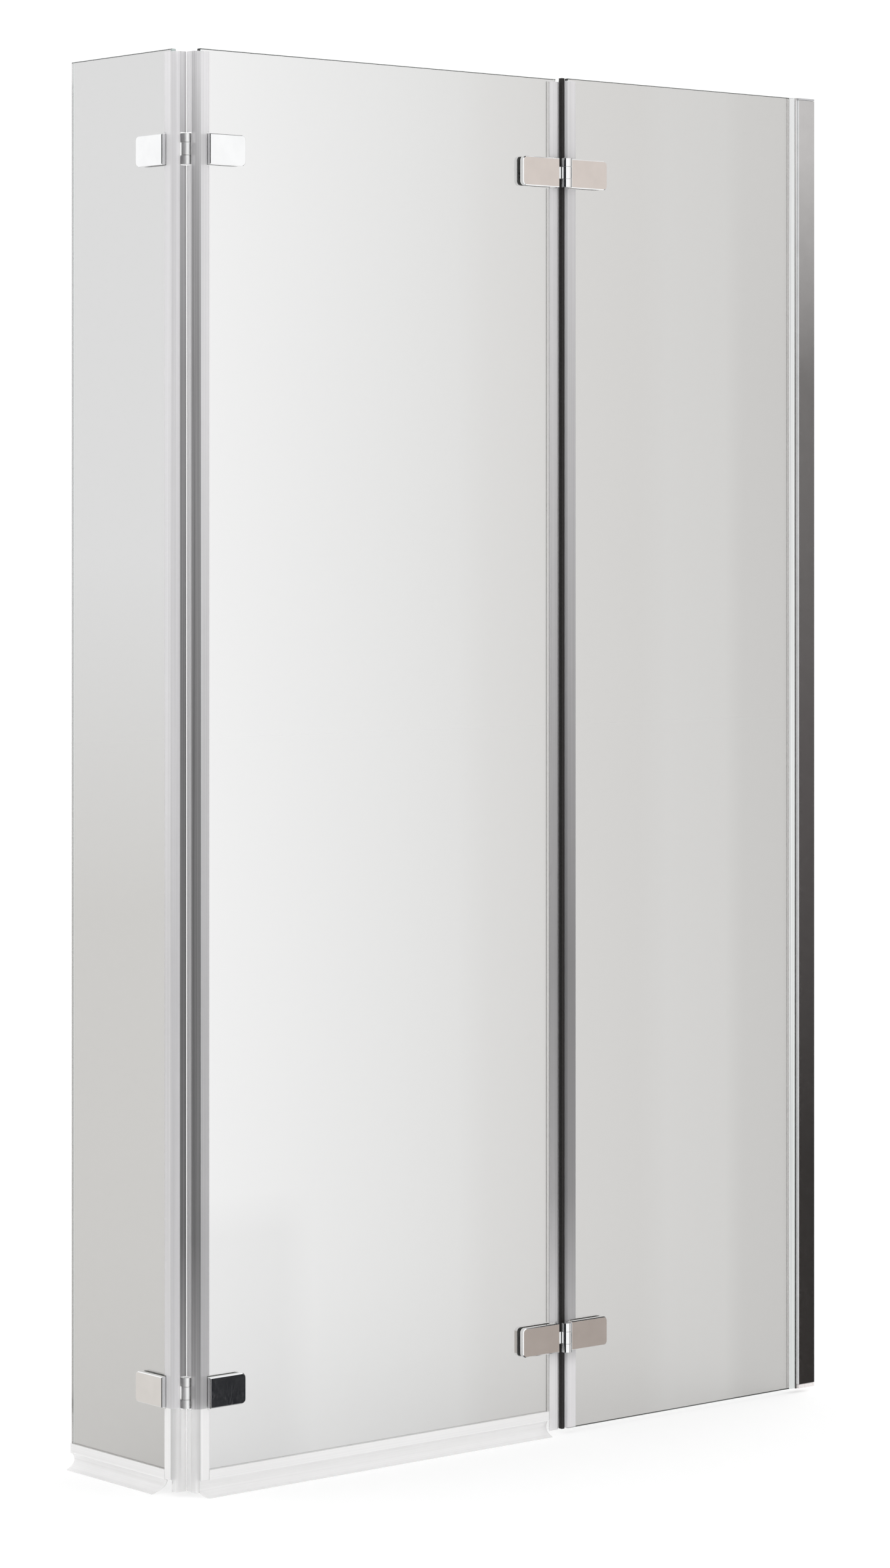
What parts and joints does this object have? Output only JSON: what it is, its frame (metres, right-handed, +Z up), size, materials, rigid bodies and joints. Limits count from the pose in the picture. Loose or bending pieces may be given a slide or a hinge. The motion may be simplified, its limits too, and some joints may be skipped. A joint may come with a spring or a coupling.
{
  "type": "hinged bath screen",
  "caption": "Folding glass bath screen: a fixed pane in a chrome wall profile, a wide folding pane and a short return pane, on glass-to-glass hinges with clear edge seals.",
  "frame": {"origin": "under the middle of the part's box at rest, level with the tips of the bottom seals; the bath rim plane is 4.9 mm higher", "axes": "+Z up; +X along the run towards the wall; -Y is the room side and +Y the bath side"},
  "size_m": [0.8558, 0.2001, 1.4049],
  "materials": {
    "clear_glass": "polished 6 mm toughened glass, pale green at its edges",
    "polished_chrome": "bright chrome plate on the hinge leaves, clamp plates and wall profile",
    "steel": "plain stainless steel",
    "clear_seal": "clear extruded soft plastic with fine draw lines",
    "gasket": "clear, slightly green soft gasket",
    "liner": "translucent soft liner",
    "dark_strip": "brown-black flexible strip, satin",
    "white_cap": "off-white moulded cap",
    "grey_cap": "grey moulded cap"
  },
  "bodies": {
    "fixed_side": {"fixed_glass": "clear_glass", "wall_channel": "polished_chrome", "glazing_profile": "polished_chrome", "glazing_gasket": "gasket", "profile_top_cap": "grey_cap", "profile_bottom_cap": "white_cap", "adjuster_screw_1": "steel", "adjuster_screw_2": "steel", "adjuster_screw_3": "steel", "fixed_middle_seal": "clear_seal", "middle_joint_strip": "dark_strip", "middle_top_hinge_fixed_leaf": "polished_chrome", "middle_top_hinge_fixed_clamp_plate": "polished_chrome", "middle_top_hinge_fixed_liner": "liner", "middle_top_hinge_fixed_screw": "steel", "middle_top_hinge_pin": "steel", "middle_bottom_hinge_fixed_leaf": "polished_chrome", "middle_bottom_hinge_fixed_clamp_plate": "polished_chrome", "middle_bottom_hinge_fixed_liner": "liner", "middle_bottom_hinge_fixed_screw": "steel", "middle_bottom_hinge_pin": "steel"},
    "centre_panel": {"centre_glass": "clear_glass", "centre_middle_seal": "clear_seal", "centre_corner_seal": "clear_seal", "centre_bottom_seal": "clear_seal", "middle_top_hinge_centre_leaf": "polished_chrome", "middle_top_hinge_centre_clamp_plate": "polished_chrome", "middle_top_hinge_centre_liner": "liner", "middle_top_hinge_centre_screw": "steel", "corner_top_hinge_centre_leaf": "polished_chrome", "corner_top_hinge_centre_clamp_plate": "polished_chrome", "corner_top_hinge_centre_liner": "liner", "corner_top_hinge_centre_screw": "steel", "middle_bottom_hinge_centre_leaf": "polished_chrome", "middle_bottom_hinge_centre_clamp_plate": "polished_chrome", "middle_bottom_hinge_centre_liner": "liner", "middle_bottom_hinge_centre_screw": "steel", "corner_bottom_hinge_centre_leaf": "polished_chrome", "corner_bottom_hinge_centre_clamp_plate": "polished_chrome", "corner_bottom_hinge_centre_liner": "liner", "corner_bottom_hinge_centre_screw": "steel"},
    "return_panel": {"return_glass": "clear_glass", "return_corner_seal": "clear_seal", "return_bottom_seal": "clear_seal", "corner_top_hinge_return_leaf": "polished_chrome", "corner_top_hinge_return_clamp_plate": "polished_chrome", "corner_top_hinge_return_liner": "liner", "corner_top_hinge_return_screw": "steel", "corner_top_hinge_pin": "steel", "corner_bottom_hinge_return_leaf": "polished_chrome", "corner_bottom_hinge_return_clamp_plate": "polished_chrome", "corner_bottom_hinge_return_liner": "liner", "corner_bottom_hinge_return_screw": "steel", "corner_bottom_hinge_pin": "steel"}
  },
  "joints": [
    {"name": "centre_fold", "type": "hinge", "parent": "fixed_side", "child": "centre_panel", "pos_m": [0.0655, -0.09495, 0.7049], "axis": [0, 0, 1], "range_deg": [0, 135]},
    {"name": "return_fold", "type": "hinge", "parent": "centre_panel", "child": "return_panel", "pos_m": [-0.408, -0.07415, 0.7049], "axis": [0, 0, -1], "range_deg": [-90, 90]}
  ]
}
